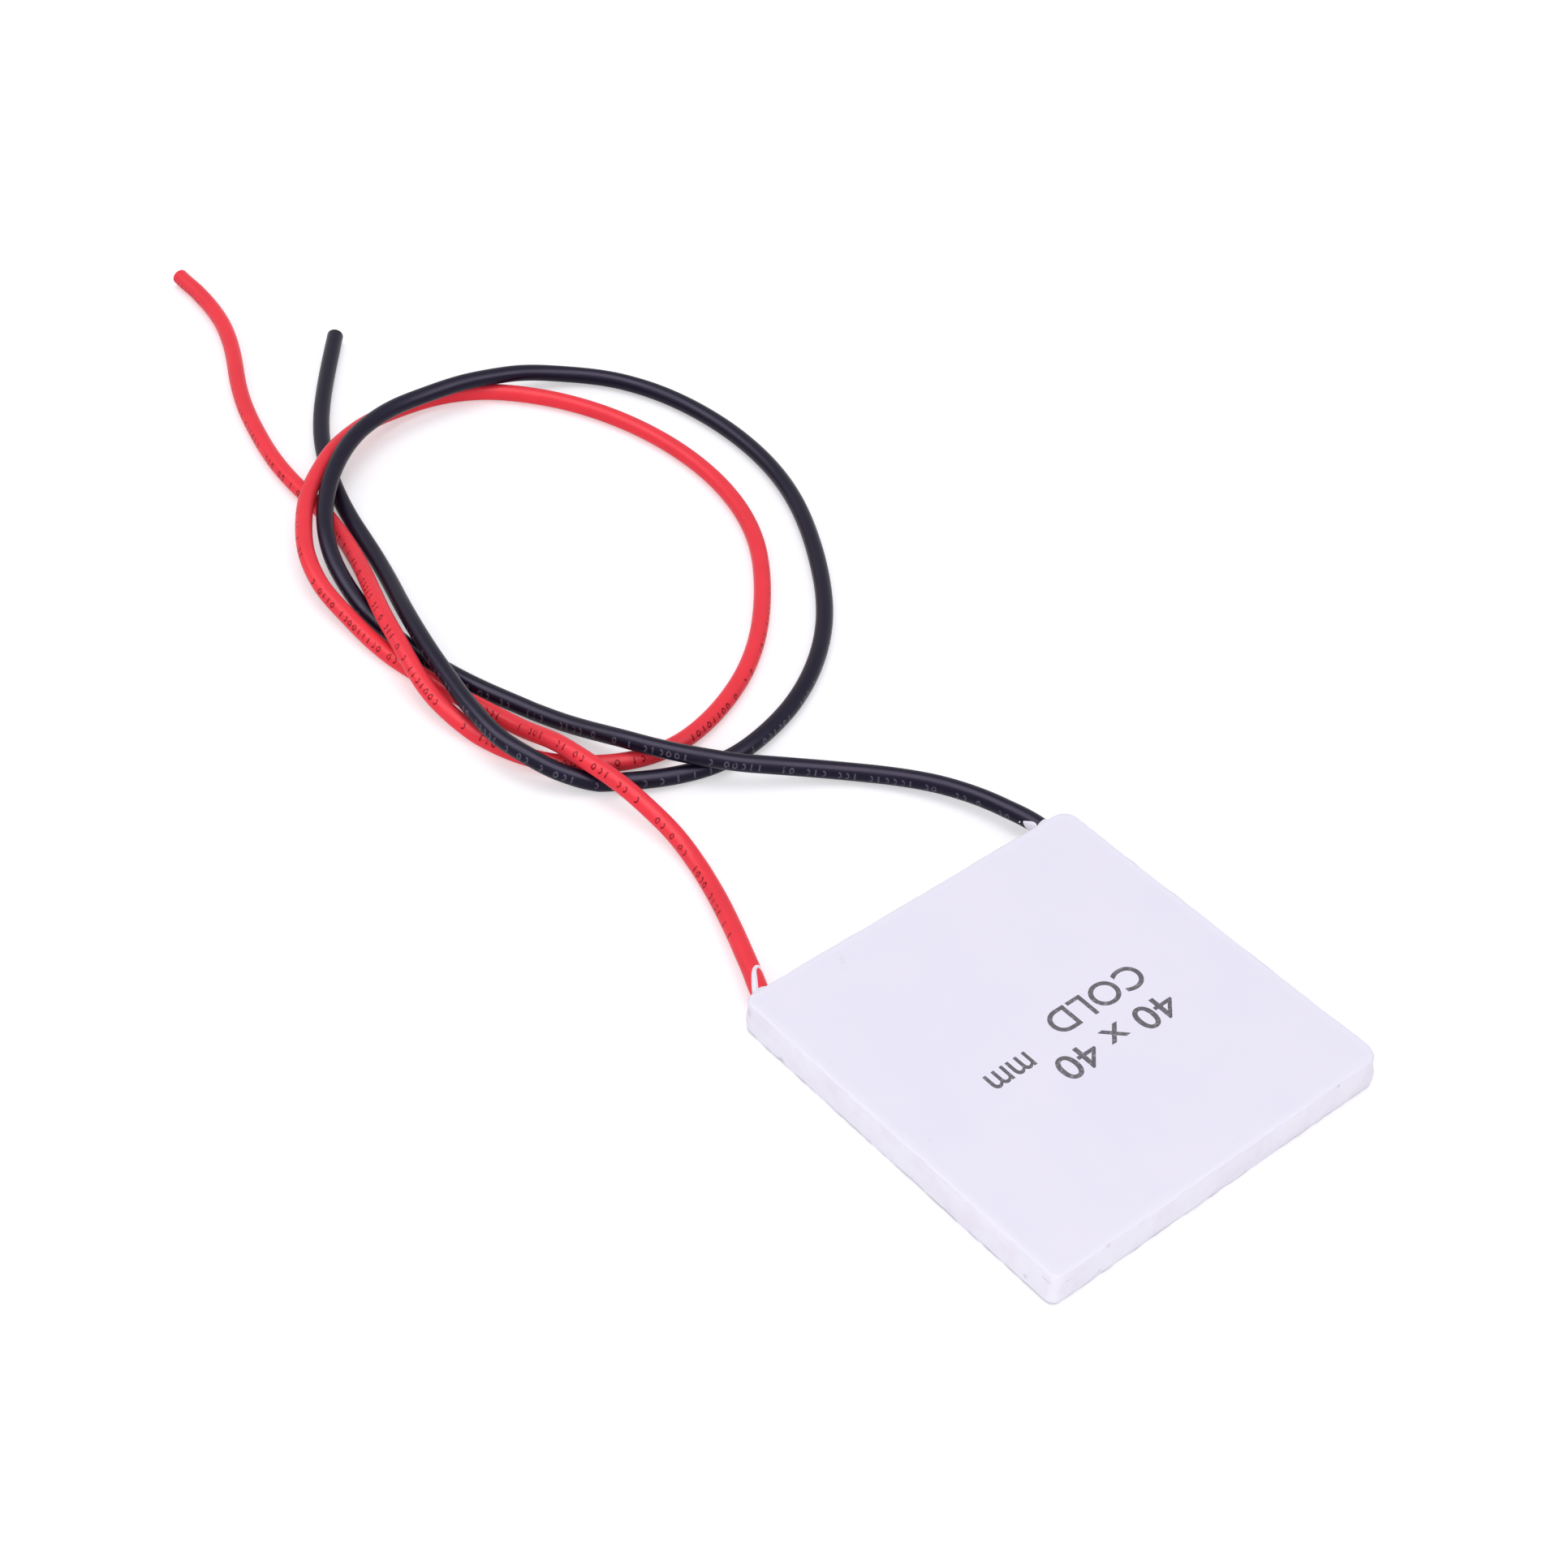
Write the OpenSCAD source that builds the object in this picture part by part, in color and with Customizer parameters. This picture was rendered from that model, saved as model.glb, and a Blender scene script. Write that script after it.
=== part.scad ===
// Thermoelectric generator module: a serpentine of semiconductor couples between two
// square ceramic plates, sealed round the edge, with two flying leads.
// The origin is the centre of the hot face, +Z points to the cold face and the leads leave at -Y.

/* [Plates] */
// Side of each square ceramic plate
plate_w = 40; // [34:0.5:60]
// Thickness of each ceramic plate
plate_t = 0.8; // [0.5:0.05:1.5]
// Corner radius of the plates
plate_r = 1.2; // [0.4:0.1:2]

/* [Couples] */
// Cells along each side of the square array, an even number
grid_n = 16; // [8:2:18]
// Bare rim of plate outside the copper
rim_w = 1.1; // [0.8:0.05:2]
// Side of each square leg
leg_w = 1.4; // [0.8:0.05:1.7]
// Height of each leg
leg_h = 1.2; // [0.8:0.05:2.5]
// Width of each copper tab
tab_w = 1.8; // [1.4:0.05:2]
// Thickness of each copper tab
tab_t = 0.3; // [0.15:0.01:0.5]
// Thickness of each solder layer between a leg and a tab
solder_t = 0.1; // [0.04:0.01:0.15]

/* [Edge seal] */
// Space left between the copper and the seal
seal_gap = 0.2; // [0.1:0.05:0.4]
// How far the seal stands proud of the plates at mid height
seal_bulge = 0.2; // [0.1:0.02:0.5]
// Thickness of the seal's skin where it ends on the edge of a plate
seal_edge = 0.06; // [0.02:0.01:0.08]
// Step from each face of the module down to the seal's skin
seal_step = 0.3; // [0.15:0.05:0.45]
// Length of the dab of sealant where a lead comes out
boot_len = 0.6; // [0.3:0.1:2]
// Thickness of that dab round the lead, at its root
boot_wall = 0.3; // [0.15:0.05:0.5]
// Thickness of that dab round the lead, at its lip
boot_lip = 0.1; // [0.05:0.01:0.15]

/* [Leads] */
// Outside diameter of each lead
lead_d = 1.8; // [1.2:0.05:2.2]
// Diameter of the stripped conductor
core_d = 0.8; // [0.5:0.05:1]
// Length of stripped conductor inside the edge of the plates
core_len = 2.9; // [2.2:0.1:3.2]
// Turn of the black lead towards the middle of the lead edge, about its solder joint, in degrees
negative_tilt = 4; // [0:1:16]
// Turn of the red lead towards the middle of the lead edge, about its solder joint, in degrees
positive_tilt = 16; // [0:1:16]
// Clearance round a lead and its conductor in the seal
lead_gap = 0.02; // [0.01:0.01:0.05]
// Height left between leads that cross
cross_gap = 0.1; // [0.05:0.05:0.5]

/* [Solder joints] */
// Width of the solder mound at its foot on the terminal tab
joint_w = 1.4; // [1.1:0.05:1.6]
// Length of the solder mound along the conductor
joint_len = 1.5; // [1:0.1:1.7]
// Solder over the top of the conductor
joint_cover = 0.2; // [0.1:0.05:0.3]

/* [Hidden] */
$fn = 48;

// Heights of the stack, from the hot face up
hot_tab_z = plate_t;
hot_solder_z = hot_tab_z + tab_t;
leg_z = hot_solder_z + solder_t;
cold_solder_z = leg_z + leg_h;
cold_tab_z = cold_solder_z + solder_t;
cold_plate_z = cold_tab_z + tab_t;
module_h = cold_plate_z + plate_t;
mid_z = module_h / 2;

// The array fills the plate up to its bare rim
array_w = plate_w - 2 * rim_w;
leg_pitch = (array_w - tab_w) / (grid_n - 1);
cells = grid_n * grid_n;

// Edge seal: the band between the plates, and the arc of its outer skin
gap_h = cold_plate_z - hot_tab_z;
seal_depth = rim_w - seal_gap;
cavity_w = plate_w - 2 * seal_depth;
skin_h = module_h - 2 * seal_step;
skin_rise = seal_bulge - seal_edge;
skin_r = (pow(skin_h / 2, 2) + pow(skin_rise, 2)) / (2 * skin_rise);

// Leads: each is soldered on its corner cell and turns about the middle of that joint
lead_r = lead_d / 2;
lead_x = leg_pitch * (grid_n - 1) / 2;
plate_y = -plate_w / 2;
edge_y = plate_y - seal_bulge;
boot_y = edge_y - boot_len;
joint_y = plate_y + core_len - joint_len / 2;
lead_sides = 8;
ring_step = 3 * lead_d;
negative = -1;
positive = 1;

// Routes of the leads on the surface that the module lies on. Each point is its X, its distance out
// from the lead edge, and how many leads lie under it there.
negative_route = [
    [-17, 5, 0.4], [-15, 10.5, 0.25], [-9.5, 18, 0.05], [-1.5, 24, 0.7], [2, 27, 1], [6, 33, 1],
    [9, 42, 0.1], [13, 54.5, 0], [14, 66.5, 0], [13, 73.5, 0.55], [11.5, 77.5, 0.9],
    [8, 82.5, 1.15], [4.5, 86, 1.4], [0.5, 88.5, 1.5], [-4, 90.5, 1.4], [-9.5, 91, 1.25],
    [-15.5, 90.5, 1.15], [-21, 89.5, 0.8], [-27.5, 87, 0.1], [-32, 81.5, 0], [-35, 71, 0],
    [-34.5, 60, 0], [-28, 45, 0], [-21, 36, 0], [-12.5, 30, 0], [-5, 27.5, 0], [2.5, 27.5, 0],
    [6.5, 29.5, 0], [11, 32, 0], [13.5, 34.5, 0.5], [15.5, 38, 1], [16, 42, 1.1], [15, 50, 1.1],
    [13, 59, 1], [8.5, 72.5, 0.1], [5.5, 84, 0], [1, 94, 0], [-4.5, 101.5, 0], [-7.5, 105, 0], [-11, 109, 0]];
positive_route = [
    [15, 5.5, 0.4], [13, 10.5, 0.2], [10.5, 18, 0], [10, 24, 0.4], [11, 31, 1.05], [12, 37, 1.05],
    [12.5, 42.5, 0.3], [14, 49.5, 0], [16, 59, 0], [16, 70, 0.4], [15.5, 74.5, 0.7], [14, 77.5, 0.9],
    [10, 83.5, 1], [6, 87, 1], [3, 89, 1], [-2, 91.5, 0.65], [-9, 93, 0.1],
    [-16, 91.5, 0], [-20, 88.5, 0], [-24.5, 82.5, 0], [-28, 72.5, 0], [-28, 60, 0], [-26, 53.5, 0],
    [-20, 44.5, 0], [-12, 37, 0], [-5.5, 33.5, 0], [4.5, 32, 0], [9, 34, 0], [14.5, 39.5, 0],
    [16, 44.5, 0], [17, 50, 0.45], [15.5, 58.5, 1.05], [14, 64, 1], [11.5, 70.5, 0.6], [8.5, 81, 0],
    [7.5, 92.5, 0], [4, 105, 0], [-1.5, 116.5, 0], [-3, 122, 0], [-3.5, 129.5, 0]];

// Place of a cell of the array. The cells are counted up the first column, down the next and so on,
// so that the first and the last are the two corners on the lead edge.
function cell_column(k) = floor(k / grid_n);
function cell_row(k) = cell_column(k) % 2 == 0 ? k % grid_n : grid_n - 1 - k % grid_n;
function cell_at(k) = leg_pitch * [cell_column(k) - (grid_n - 1) / 2, cell_row(k) - (grid_n - 1) / 2];

// Outline of a plate
module plate_outline() {
    square([plate_w - 2 * plate_r, plate_w], center = true);
    square([plate_w, plate_w - 2 * plate_r], center = true);
    for (sx = [-1, 1], sy = [-1, 1])
        translate([sx, sy] * (plate_w / 2 - plate_r)) circle(plate_r);
}

module plate(z) {
    translate([0, 0, z]) linear_extrude(plate_t) plate_outline();
}

// A copper tab that joins cell k to the next one
module tab(k, z) {
    span = cell_at(k + 1) - cell_at(k);
    size = [abs(span[0]) + tab_w, abs(span[1]) + tab_w];
    middle = (cell_at(k) + cell_at(k + 1)) / 2;
    translate([middle[0] - size[0] / 2, middle[1] - size[1] / 2, z]) cube([size[0], size[1], tab_t]);
}

// A square block on cell k, such as a leg or its layer of solder
module cell_block(k, z, height) {
    translate([cell_at(k)[0] - leg_w / 2, cell_at(k)[1] - leg_w / 2, z]) cube([leg_w, leg_w, height]);
}

module hot_plate() { color("whitesmoke") plate(0); }

module cold_plate() { color("whitesmoke") plate(cold_plate_z); }

// The hot side joins the cells in pairs. Its first and last tabs are the terminals.
module hot_tabs() {
    color("peru") for (k = [2 : 2 : cells - 4]) tab(k, hot_tab_z);
}

module negative_terminal() { color("peru") tab(0, hot_tab_z); }

module positive_terminal() { color("peru") tab(cells - 2, hot_tab_z); }

// The cold side joins the second cell of each pair to the first of the next, and turns at column ends
module cold_tabs() {
    color("peru") for (k = [1 : 2 : cells - 3]) tab(k, cold_tab_z);
}

module p_legs() {
    color("dimgray") for (k = [1 : 2 : cells - 3]) cell_block(k, leg_z, leg_h);
}

module n_legs() {
    color("slategray") for (k = [2 : 2 : cells - 2]) cell_block(k, leg_z, leg_h);
}

module hot_solder() {
    color("silver") for (k = [1 : cells - 2]) cell_block(k, hot_solder_z, solder_t);
}

module cold_solder() {
    color("silver") for (k = [1 : cells - 2]) cell_block(k, cold_solder_z, solder_t);
}

// Turn of a lead in plan, and the point of its axis that lies at y before the turn
function lead_turn(side) = side == negative ? negative_tilt : -positive_tilt;
function lead_axis(side, y) =
    [side * lead_x, joint_y, mid_z] + (joint_y - y) * [sin(lead_turn(side)), -cos(lead_turn(side)), 0];

// Puts what is made along Y, with its solder joint at the origin, on a lead's axis
module on_lead(side) {
    translate([side * lead_x, joint_y, mid_z]) rotate(lead_turn(side)) children();
}

// A round bar along a lead's axis, from y inwards to the array
module lead_bar(side, d, y, length) {
    on_lead(side) translate([0, y - joint_y, 0]) rotate([-90, 0, 0]) cylinder(d = d, h = length);
}

module core(side) { lead_bar(side, core_d, plate_y, core_len); }

module negative_core() { color("goldenrod") core(negative); }

module positive_core() { color("goldenrod") core(positive); }

// The mound of solder between a conductor and its terminal tab. The conductor's seat is cut
// right through it, past both of its ends.
module joint(side) {
    axis_h = mid_z - hot_solder_z;
    cap_r = core_d / 2 + joint_cover;
    difference() {
        on_lead(side) rotate([90, 0, 0]) linear_extrude(joint_len, center = true) {
            polygon([[-joint_w / 2, -axis_h], [joint_w / 2, -axis_h], [cap_r, 0], [-cap_r, 0]]);
            circle(cap_r);
        }
        lead_bar(side, core_d, joint_y - joint_len, 2 * joint_len);
    }
}

module negative_joint() { color("silver") joint(negative); }

module positive_joint() { color("silver") joint(positive); }

// Section of the seal, out from the plates' edge: the band between them and the skin over their edges
module seal_section() {
    translate([-rim_w, -gap_h / 2]) square([rim_w + seal_edge, gap_h]);
    intersection() {
        translate([seal_bulge - skin_r, 0]) circle(skin_r, $fn = 180);
        translate([0, -skin_h / 2]) square([seal_bulge, skin_h]);
    }
}

// The same section round a corner of the plates
module seal_corner() {
    rotate_extrude(angle = 90) intersection() {
        translate([plate_r, 0]) seal_section();
        translate([0, -skin_h / 2]) square([plate_r + seal_bulge, skin_h]);
    }
}

// The section carried along the four sides and round the four corners
module seal_ring() {
    corner = plate_w / 2 - plate_r;
    for (turn = [0 : 90 : 270]) rotate(turn) {
        translate([plate_w / 2, 0, 0]) rotate([90, 0, 0])
            linear_extrude(2 * corner, center = true) seal_section();
        translate([corner, corner, 0]) seal_corner();
    }
}

// The dab of sealant round a lead, rooted in the skin. Its root starts far enough in to close
// the seal on both sides of a turned lead, and is cut off inside the skin.
module boot(side) {
    root_r = lead_r + boot_wall;
    turn = abs(lead_turn(side));
    skin_y = plate_y - seal_edge;
    root_y = joint_y - (joint_y - skin_y - root_r * sin(turn)) / cos(turn);
    intersection() {
        on_lead(side) translate([0, root_y - joint_y, 0]) rotate([90, 0, 0])
            cylinder(r1 = root_r, r2 = lead_r + boot_lip, h = root_y - boot_y);
        translate([-plate_w / 2, skin_y - plate_w, 0]) cube([plate_w, plate_w, module_h]);
    }
}

module edge_seal() {
    color("white") difference() {
        union() {
            translate([0, 0, mid_z]) seal_ring();
            boot(negative);
            boot(positive);
        }
        translate([-cavity_w / 2, -cavity_w / 2, 0]) cube([cavity_w, cavity_w, module_h]);
        for (side = [negative, positive]) {
            lead_bar(side, core_d + 2 * lead_gap, plate_y, core_len);
            lead_bar(side, lead_d + 2 * lead_gap, boot_y - boot_len, plate_y - boot_y + boot_len);
        }
    }
}

// Points of a lead: its end in the seal, the lip of the seal's dab, then its route to the cut end
function route_points(side, route) = concat(
    [lead_axis(side, plate_y), lead_axis(side, boot_y)],
    [for (p = route) [p[0], edge_y - p[1], lead_r + p[2] * (lead_d + cross_gap)]]);

function unit(v) = v / norm(v);

// Slope of the curve at point i: straight out of the seal, then the slope of the arc through its neighbours
function slope(p, i) =
    i < 2 ? unit(p[1] - p[0]) :
    i == len(p) - 1 ? unit(p[i] - p[i - 1]) :
    let (before = p[i] - p[i - 1], after = p[i + 1] - p[i], a = norm(before), b = norm(after))
    (before * b / a + after * a / b) / (a + b);

// The curve from point i to the next one, held up by the surface below
function along(p, i, u) =
    let (h = norm(p[i + 1] - p[i]), w = u * u * (3 - 2 * u),
         q = p[i] * (1 - w) + p[i + 1] * w
             + h * u * (1 - u) * ((1 - u) * slope(p, i) - u * slope(p, i + 1)))
    [q[0], q[1], max(q[2], lead_r)];

// Centres of a lead's rings, a few on each stretch of the curve
function centreline(p) = concat(
    [for (i = [0 : len(p) - 2])
        let (steps = ceil(norm(p[i + 1] - p[i]) / ring_step))
        for (k = [0 : steps - 1]) along(p, i, k / steps)],
    [p[len(p) - 1]]);

// Heading of the ring at centre i
function heading(c, i) =
    i < 2 ? unit(c[1] - c[0]) : unit(c[min(i + 1, len(c) - 1)] - c[i - 1]);

// A ring of corners round centre i, level across the lead
function ring(c, i) =
    let (ahead = heading(c, i), flat = cross(ahead, [0, 0, 1]), across = flat / norm(flat),
         up = cross(across, ahead))
    [for (s = [0 : lead_sides - 1])
        let (turn = 360 * (s + 0.5) / lead_sides)
        c[i] + lead_r * (cos(turn) * across + sin(turn) * up)];

module lead(side, route) {
    c = centreline(route_points(side, route));
    last = len(c) - 1;
    polyhedron(
        points = [for (i = [0 : last]) each ring(c, i)],
        faces = concat(
            [[for (s = [0 : lead_sides - 1]) s]],
            [for (i = [0 : last - 1], s = [0 : lead_sides - 1])
                let (t = (s + 1) % lead_sides, a = i * lead_sides, b = a + lead_sides)
                [a + s, b + s, b + t, a + t]],
            [[for (s = [lead_sides - 1 : -1 : 0]) last * lead_sides + s]]),
        convexity = 10);
}

module negative_lead() { color("#202028") lead(negative, negative_route); }

module positive_lead() { color("crimson") lead(positive, positive_route); }

hot_plate();
cold_plate();
hot_tabs();
cold_tabs();
negative_terminal();
positive_terminal();
p_legs();
n_legs();
hot_solder();
cold_solder();
negative_core();
positive_core();
negative_joint();
positive_joint();
edge_seal();
negative_lead();
positive_lead();
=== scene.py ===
"""Thermoelectric generator module: two ceramic plates, a sealed edge, a marking and two loose leads.

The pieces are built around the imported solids, in metres and in their frame. The origin is the centre of the
hot face, +Z points to the marked cold face and the leads leave the edge at -Y, red at +X and black at -X.
"""

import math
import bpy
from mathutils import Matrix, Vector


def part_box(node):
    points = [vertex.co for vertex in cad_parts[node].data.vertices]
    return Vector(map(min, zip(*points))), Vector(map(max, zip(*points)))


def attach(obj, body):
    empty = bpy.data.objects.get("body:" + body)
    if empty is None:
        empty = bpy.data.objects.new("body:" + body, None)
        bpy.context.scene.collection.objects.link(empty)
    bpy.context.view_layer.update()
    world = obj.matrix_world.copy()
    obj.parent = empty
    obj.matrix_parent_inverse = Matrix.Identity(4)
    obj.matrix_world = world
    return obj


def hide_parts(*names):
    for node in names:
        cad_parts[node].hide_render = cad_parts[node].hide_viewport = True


bl_info = {
    "name": "Thermoelectric Generator Module",
    "version": (1, 0, 0),
    "blender": (4, 5, 0),
    "location": "View3D > Sidebar > Module",
    "description": "Dresses a thermoelectric generator module with its finishes and its loose leads",
    "category": "Object",
}

from functools import partial

import bmesh
import bpy
from bl_math import smoothstep
from bpy.props import FloatProperty, FloatVectorProperty, PointerProperty, StringProperty
from bpy.types import Operator, Panel, PropertyGroup
from mathutils import Matrix, Vector, noise
from mathutils.geometry import interpolate_bezier

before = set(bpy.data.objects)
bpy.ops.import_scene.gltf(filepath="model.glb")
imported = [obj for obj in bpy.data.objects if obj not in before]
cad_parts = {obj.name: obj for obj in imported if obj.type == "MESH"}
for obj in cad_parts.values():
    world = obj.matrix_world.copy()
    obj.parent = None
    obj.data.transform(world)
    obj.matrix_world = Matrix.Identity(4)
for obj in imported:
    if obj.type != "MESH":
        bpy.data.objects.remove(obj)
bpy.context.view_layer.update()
BODY = "root"
MM = 0.001
UP = Vector((0, 0, 1))

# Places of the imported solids
HOT_LOW, HOT_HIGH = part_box("hot_plate")
COLD_LOW, COLD_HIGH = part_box("cold_plate")
SEAL_LOW, SEAL_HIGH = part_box("edge_seal")
PLATE_W = COLD_HIGH.x - COLD_LOW.x
FACE_Z = COLD_HIGH.z
MID_Z = FACE_Z / 2
EDGE_Y = -SEAL_HIGH.y
SEAL_BULGE = SEAL_HIGH.x - PLATE_W / 2

# Routes of the leads on the surface that the module lies on, in millimetres. Each point is its X, its
# distance out from the lead edge, and how many leads lie under it there.
BLACK_ROUTE = (
    (-17, 5, 0.4), (-15, 10.5, 0.25), (-9.5, 18, 0.05), (-1.5, 24, 0.7), (2, 27, 1), (6, 33, 1),
    (9, 42, 0.1), (13, 54.5, 0), (14, 66.5, 0), (13, 73.5, 0.55), (11.5, 77.5, 0.9), (8, 82.5, 1.15),
    (4.5, 86, 1.4), (0.5, 88.5, 1.5), (-4, 90.5, 1.4), (-9.5, 91, 1.25), (-15.5, 90.5, 1.15),
    (-21, 89.5, 0.8), (-27.5, 87, 0.1), (-32, 81.5, 0), (-35, 71, 0), (-34.5, 60, 0), (-28, 45, 0),
    (-21, 36, 0), (-12.5, 30, 0), (-5, 27.5, 0), (2.5, 27.5, 0), (6.5, 29.5, 0), (11, 32, 0),
    (13.5, 34.5, 0.5), (15.5, 38, 1), (16, 42, 1.1), (15, 50, 1.1), (13, 59, 1), (8.5, 72.5, 0.1),
    (5.5, 84, 0), (1, 94, 0), (-4.5, 101.5, 0), (-7.5, 105, 0), (-11, 109, 0),
)
RED_ROUTE = (
    (15, 5.5, 0.4), (13, 10.5, 0.2), (10.5, 18, 0), (10, 24, 0.4), (11, 31, 1.05), (12, 37, 1.05),
    (12.5, 42.5, 0.3), (14, 49.5, 0), (16, 59, 0), (16, 70, 0.4), (15.5, 74.5, 0.7), (14, 77.5, 0.9),
    (10, 83.5, 1), (6, 87, 1), (3, 89, 1), (-2, 91.5, 0.65), (-9, 93, 0.1), (-16, 91.5, 0),
    (-20, 88.5, 0), (-24.5, 82.5, 0), (-28, 72.5, 0), (-28, 60, 0), (-26, 53.5, 0), (-20, 44.5, 0),
    (-12, 37, 0), (-5.5, 33.5, 0), (4.5, 32, 0), (9, 34, 0), (14.5, 39.5, 0), (16, 44.5, 0),
    (17, 50, 0.45), (15.5, 58.5, 1.05), (14, 64, 1), (11.5, 70.5, 0.6), (8.5, 81, 0), (7.5, 92.5, 0),
    (4, 105, 0), (-1.5, 116.5, 0), (-3, 122, 0), (-3.5, 129.5, 0),
)

# The cut end of a lead, as rings with their share of a radius and their distance ahead in millimetres: the
# softened rim by the lead's radius, then the seat of the strands by the conductor's
CUT_RIM = ((0.97, 0.03), (0.9, 0.05))
CUT_SEAT = ((1.04, 0.04), (1, -0.02), (1, -0.3))

# The strands in it: rings of them, sides of each, its length, how far it may stand out, over which length
# that changes, and how its tip narrows
WIRE_RINGS, WIRE_SIDES = 3, 12
WIRE_LENGTH, WIRE_SPREAD, WIRE_WAVE, WIRE_TIP = 0.4 * MM, 0.06 * MM, 0.2 * MM, 0.92

# Sealant dragged onto the leads. A place is its distance from the lip of the dab in millimetres and its
# turn round the lead from the top in degrees. The strand's points add its radius there, and its ends are
# closed by rings with their share of that radius and their distance ahead in radii.
STRAND = (
    (-0.2, -47, 0.32), (0.6, -28, 0.3), (1.3, -15, 0.27), (2, -4, 0.22), (2.45, 10, 0.18), (2.65, 30, 0.16),
    (2.55, 50, 0.13), (2.1, 64, 0.1), (1.2, 70, 0.07))
STRAND_END = ((0.8, 0.6), (0.3, 0.95))

# The smear on the black lead and the drop beyond it: middle and reach along the lead, turn, how much
# further the tip turns, and half the width. The outline leans back, comes to a point and is uneven.
SMEARS = ((0.55, 1.1, -86, 16, 44), (2, 0.1, -86, 0, 6))
SMEAR_LEAN, SMEAR_POINT, SMEAR_UNEVEN, SMEAR_WAVE = 0.2, 0.35, 0.15, 0.6

# How the dab at a lead narrows along it and at its lip
DAB_TAPER = 0.6

# Pits in the sealant in millimetres: place, reach and depth. They are dented into the skin, and shade is also
# painted dark in them
PITS = (
    ((20.05, -19.35, 2.35), 0.6, 0.35), ((-14.4, 20.1, 3.4), 0.28, 0.1), ((13.9, 20.1, 3.4), 0.3, 0.1),
    ((14.6, 20.2, 0.6), 0.35, 0.1), ((20.2, 16.7, 1.0), 0.35, 0.12), ((20.1, -14.5, 0.4), 0.4, 0.12))

# Unevenness of the plates' rim, of the sealant's skin and of its lips: the lengths of a slow and a fine
# wave, and the share of the fine one
RIM_WAVES = (5 * MM, 1.1 * MM, 0.6)
SKIN_WAVES = (4 * MM, 1.1 * MM, 0.35)
LIP_WAVE = 2.2 * MM

# Print on the leads: its place round the lead in turns from the top, its start in millimetres, how much of
# it is left blank, and which row of chance values it takes
PRINTS = {
    "red": {"place": -0.2, "start": 8.0, "gaps": 0.45, "seed": 3.0},
    "black": {"place": -0.28, "start": 4.0, "gaps": 0.46, "seed": 40.0}}

# Lines of the marking in millimetres: left end, base line and width, and the height of the font's capitals
MARKING_LINES = {"size": (-10.2, 2.56, 14.0), "unit": (4.7, 0.05, 4.9), "side": (-10.3, -1.85, 11.0)}
FONT_CAP = 0.729

# How strongly the painted shade along the foot, by the surface below, shows
FOOT_SHADE = 0.7

# Bare metals: bright and dull colour, size of the dull patches in millimetres, least and most roughness
METALS = {
    "Tinned Strand": ((0.62, 0.58, 0.53), (0.42, 0.38, 0.33), 0.3, 0.3, 0.5),
    "Copper": ((0.78, 0.42, 0.27), (0.6, 0.3, 0.19), 1.2, 0.25, 0.45),
    "Solder": ((0.66, 0.66, 0.66), (0.5, 0.5, 0.51), 0.6, 0.3, 0.5),
    "P Telluride": ((0.27, 0.27, 0.29), (0.17, 0.17, 0.19), 0.5, 0.35, 0.6),
    "N Telluride": ((0.33, 0.33, 0.35), (0.22, 0.22, 0.24), 0.5, 0.35, 0.6)}
NODE_METALS = {
    "hot_tabs": "Copper", "cold_tabs": "Copper", "negative_terminal": "Copper",
    "positive_terminal": "Copper", "p_legs": "P Telluride", "n_legs": "N Telluride", "hot_solder": "Solder",
    "cold_solder": "Solder", "negative_joint": "Solder", "positive_joint": "Solder",
    "negative_core": "Tinned Strand", "positive_core": "Tinned Strand"}

# Lamps: place and size in metres, turn about its own axis in degrees, and whether it shows in gloss alone
LAMPS = {
    "overhead": ((-0.05, -0.12, 0.5), (0.3, 0.3), 0, False),
    "fill": ((0.4, 0.37, 0.25), (0.5, 0.5), 0, False),
    "sheen": ((0.04, 0.04, 0.5), (1.8, 0.45), -12, True)}

# Width of the camera's sensor in millimetres, half the floor's side and how far it lies below the module
SENSOR = 36
FLOOR_HALF, FLOOR_DROP = 3.0, 0.02 * MM

# Fineness of the meshes
CORNER_STEPS = 12
RIM_CUTS = 150
RIM_STEPS = 3
SKIN_CUTS = 11
SIDE_STEPS = 130
RING_STEP = 0.5 * MM
EASE_RINGS = 10
TUBE_RESOLUTION = 10
TUBE_SIDES = 4 + 2 * TUBE_RESOLUTION
TUBE_TOP = 0.25 - 1 / TUBE_SIDES
ROUND_SEGMENTS = 40
STRAND_STEP = 0.1 * MM
SMEAR_RINGS = 24
SMOOTH_ANGLE = math.radians(40)

# Points nearer than this are one, a face whose normal rises more than this is level, and a direction with
# more than this along both X and Y points out of a rounded corner
MERGE = 0.001 * MM
LEVEL_RISE = 0.5
CORNER_SHARE = 0.01


def length(name, millimetres, description):
    """A size that is shown in the scene's own units"""
    return FloatProperty(
        name=name, description=description, default=millimetres * MM, min=0, subtype="DISTANCE",
        unit="LENGTH", precision=5)


def angle(name, degrees, description):
    """An angle that is shown in the scene's own units"""
    return FloatProperty(
        name=name, description=description, default=math.radians(degrees), subtype="ANGLE", unit="ROTATION")


def level(name, default, description, unit="NONE"):
    """A plain number, a focal length or a lamp's power"""
    return FloatProperty(name=name, description=description, default=default, min=0, unit=unit)


def colour(name, default, description):
    """A linear colour"""
    return FloatVectorProperty(
        name=name, description=description, default=default, size=3, min=0, max=1, subtype="COLOR")


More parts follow.
